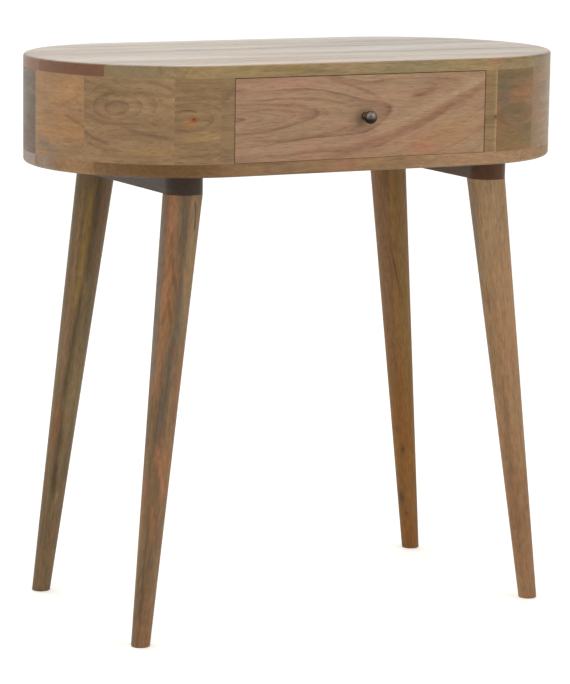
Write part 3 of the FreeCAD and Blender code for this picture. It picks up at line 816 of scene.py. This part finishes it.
def dress_leg_back_right():
    """Plain amber wood with a fine crack and small knots."""
    wood(leg_board("leg_back_right"), ("815D30", "66451B", "7C562C", "392712"), STRAIGHT_RINGS, [
        Mark(130, -14, 160, 12, "7E5E48", 0.5),
        Mark(130, 13, 160, 10, "745C32", 0.5),
        Mark(430, 0, 120, 16, "805014", 0.6),
        Mark(570, 0, 40, 16, "7E4816", 0.5),
        Mark(24, -5, 32, 5, "503A24", 0.55),
        Mark(167, 2, 34, 1.2, "46321C", 0.8, 8),
        Mark(439, -3, 7, 2.6, "342416", 0.7),
        Mark(514, -9, 11, 3.5, "342416", 0.7),
        Mark(538, -3, 4, 2, "542418", 0.7),
    ], shine=0.19)


def dress_leg_front_right():
    """Plain pale wood, browner towards the foot, with a grey painted shade along the upper left edge."""
    wood(leg_board("leg_front_right"), ("9A7A54", "806042", "986E4C", "533D25"), STRAIGHT_RINGS, [
        Mark(60, 0, 120, 30, "8E7454", 0.5),
        # Painted shade: a grey line along the upper left edge
        Mark(40, -22, 90, 5, "645A4E", 0.5),
        Mark(165, -14, 14, 3, "744A30", 0.5),
        Mark(480, 0, 120, 30, "7C5434", 0.6),
    ])


def dress_bearers():
    """Dark-stained wood, darker still on its ends."""
    looks = {
        "left": (("4A382E", "302622", "4E3A2E", "1C1512"), "281602"),
        "right": (("56341C", "301E14", "5E361A", "1E140C"), "4E2C06"),
    }
    for name, (tones, end_tone) in looks.items():
        wood(flat_board(f"leg_bearer_{name}", BACK, DOWN), tones, STRAIGHT_RINGS,
             end_grain=0.6, end_tone=end_tone, shine=0.24, gloss=0.4)


# Inside of the case and of the drawer

def dress_inside():
    """Bare planed wood for the hidden pieces of the case and for the drawer box."""
    bare = Rings((0, -60), 0.02, 13, height=-40, wobble=4, line=0.35)
    case_wood = ("B89A78", "A08060", "B48C6A", "82623F")
    box_wood = ("C9AE8A", "B59672", "C4A078", "94744C")
    plywood = ("CDB48E", "BEA27A", "C8A880", "A4845A")
    planed = {"gloss": 0.6, "coat": 0.0, "end_grain": 0.4, "contrast": 0.5}
    for name, inward in (("left", RIGHT), ("right", LEFT)):
        for piece in ("partition", "drawer_runner", "drawer_kicker"):
            wood(flat_board(f"{piece}_{name}", BACK, inward), case_wood, bare, **planed)
        wood(flat_board(f"drawer_side_{name}", BACK, inward), box_wood, bare, **planed)
    wood(flat_board("drawer_back", RIGHT, FRONT), box_wood, bare, **planed)
    wood(flat_board("drawer_bottom", RIGHT, UP), plywood, bare, **planed)
    wood(flat_board("drawer_stops", BACK, UP), case_wood, bare, **planed)
    for node in ("dowels_upper", "dowels_lower"):
        wood(flat_board(node, UP, FRONT), case_wood, bare, **planed)


# Metal

def metal(name, pale, deep, roughness, cloud_size, painted_underside_shade=None):
    """Worn metal: two tones in soft clouds and fine pits, and painted shade that darkens its underside when a
    shade tone is given.
    """
    material, shader, start = new_material(name)
    spot = start.node("ShaderNodeTexCoord", out="Object")
    point = start.node("ShaderNodeVectorMath", {"operation": "SCALE"}, {0: spot, "Scale": 1 / MM})
    pit_size = cloud_size / PITS_TO_A_CLOUD
    clouds = Grain((cloud_size, cloud_size, cloud_size), shift=4).at(point)
    pits = Grain((pit_size, pit_size, pit_size), shift=9).at(point)
    colour = between(clouds.ramp(*CLOUD_RAMP), pale, deep)
    # Painted shade: faces that look down take the dark tone, fading out towards faces that look up
    if painted_underside_shade:
        facing = start.node("ShaderNodeTexCoord", out="Normal")
        free_of_painted_shade = facing.vector("DOT_PRODUCT", UP, out="Value").ramp(*PAINTED_SHADE_RAMP)
        colour = colour.mix(tone(painted_underside_shade), 1.0 - free_of_painted_shade)
    bump_inputs = {"Strength": PIT_BUMP, "Distance": PIT_BUMP_DEPTH, "Height": pits}
    feed(
        shader,
        base_color=colour,
        metallic=1.0,
        roughness=(clouds - 0.5) * CLOUD_ROUGHNESS + roughness,
        normal=start.node("ShaderNodeBump", inputs=bump_inputs),
    )
    return material


def dress_metal():
    """Dark knob with painted shade on its underside, a darker backplate and plain steel fixings."""
    dress("drawer_knob", metal("antique_iron", "90877E", "746B64", 0.32, 6.0, painted_underside_shade="28211E"))
    dress("knob_backplate", metal("dark_iron", "4E4640", "3A322E", 0.4, 6.0))
    steel = metal("plain_steel", "B4B4B2", "94948F", 0.34, 5.0)
    for node in ("knob_screw", "bearer_screws", "hanger_bolts", "threaded_inserts", "drawer_bottom_pins"):
        dress(node, steel)


# Studio

def make_floor():
    """Pale plain floor under the feet."""
    mesh = bpy.data.meshes.new("floor")
    half = FLOOR_SIZE / 2
    level = cad_low.z
    corners = [(-half, -half, level), (half, -half, level), (half, half, level), (-half, half, level)]
    mesh.from_pydata(corners, [], [(0, 1, 2, 3)])
    floor = bpy.data.objects.new("floor", mesh)
    bpy.context.scene.collection.objects.link(floor)
    material, shader, _ = new_material("floor_paper")
    paper = tone(FLOOR_TONE)
    feed(
        shader,
        base_color=paper,
        roughness=FLOOR_ROUGHNESS,
        emission_color=paper,
        emission_strength=FLOOR_GLOW,
    )
    shader.inputs["Specular IOR Level"].default_value = FLOOR_SHINE
    mesh.materials.append(material)


def make_soft_box(name, place, size, power):
    """Square soft light that is aimed at the table."""
    light = bpy.data.lights.new(name, "AREA")
    light.shape = "SQUARE"
    light.size = size
    light.energy = power
    box = bpy.data.objects.new(name, light)
    box.location = place
    box.rotation_mode = "QUATERNION"
    box.rotation_quaternion = (LIGHT_AIM - place).to_track_quat("-Z", "Y")
    bpy.context.scene.collection.objects.link(box)


def make_sky():
    """Soft light from all round: dim in front of the table, bright behind it and overhead."""
    world = bpy.data.worlds.new("studio")
    world.use_nodes = True
    background = next(node for node in world.node_tree.nodes if node.type == "BACKGROUND")
    way = Socket(world.node_tree).node("ShaderNodeTexCoord", out="Generated")
    behind = way.vector("DOT_PRODUCT", BACK, out="Value").ramp(*BEHIND_RAMP)
    overhead = way.vector("DOT_PRODUCT", UP, out="Value").ramp(*OVERHEAD_RAMP)
    strength = behind * (SKY_BEHIND - SKY_IN_FRONT) + overhead * SKY_OVERHEAD + SKY_IN_FRONT
    feed(background, color=between(behind, FRONT_TONE, BEHIND_TONE), strength=strength)
    bpy.context.scene.world = world
    bpy.context.scene.view_settings.view_transform = "Standard"


def make_camera():
    """Camera at the photograph's viewing angle."""
    data = bpy.data.cameras.new("camera")
    data.lens = CAMERA_LENS
    data.sensor_width = CAMERA_SENSOR
    camera = bpy.data.objects.new("camera", data)
    turn = Matrix.Rotation(math.radians(CAMERA_TURN), 4, "Z")
    pitch = Matrix.Rotation(math.radians(90 + CAMERA_PITCH), 4, "X")
    roll = Matrix.Rotation(math.radians(CAMERA_ROLL), 4, "Z")
    place = CAMERA_PLACE + Vector((0, CASE_MIDDLE_Y, 0))
    camera.matrix_world = Matrix.Translation(place) @ turn @ pitch @ roll
    bpy.context.scene.collection.objects.link(camera)
    bpy.context.scene.camera = camera


# The whole table, then the studio

dress_drawer_front()
dress_left_staves()
dress_right_staves()
dress_stiles()
dress_unseen_walls()
dress_back_board()
dress_top()
dress_bottom()
dress_leg_front_left()
dress_leg_front_right()
dress_leg_back_left()
dress_leg_back_right()
dress_bearers()
dress_inside()
dress_metal()
make_floor()
make_soft_box("key_box", KEY_PLACE, KEY_SIZE, KEY_POWER)
make_soft_box("fill_box", FILL_PLACE, FILL_SIZE, FILL_POWER)
make_soft_box("high_box", HIGH_PLACE, HIGH_SIZE, HIGH_POWER)
make_sky()
make_camera()
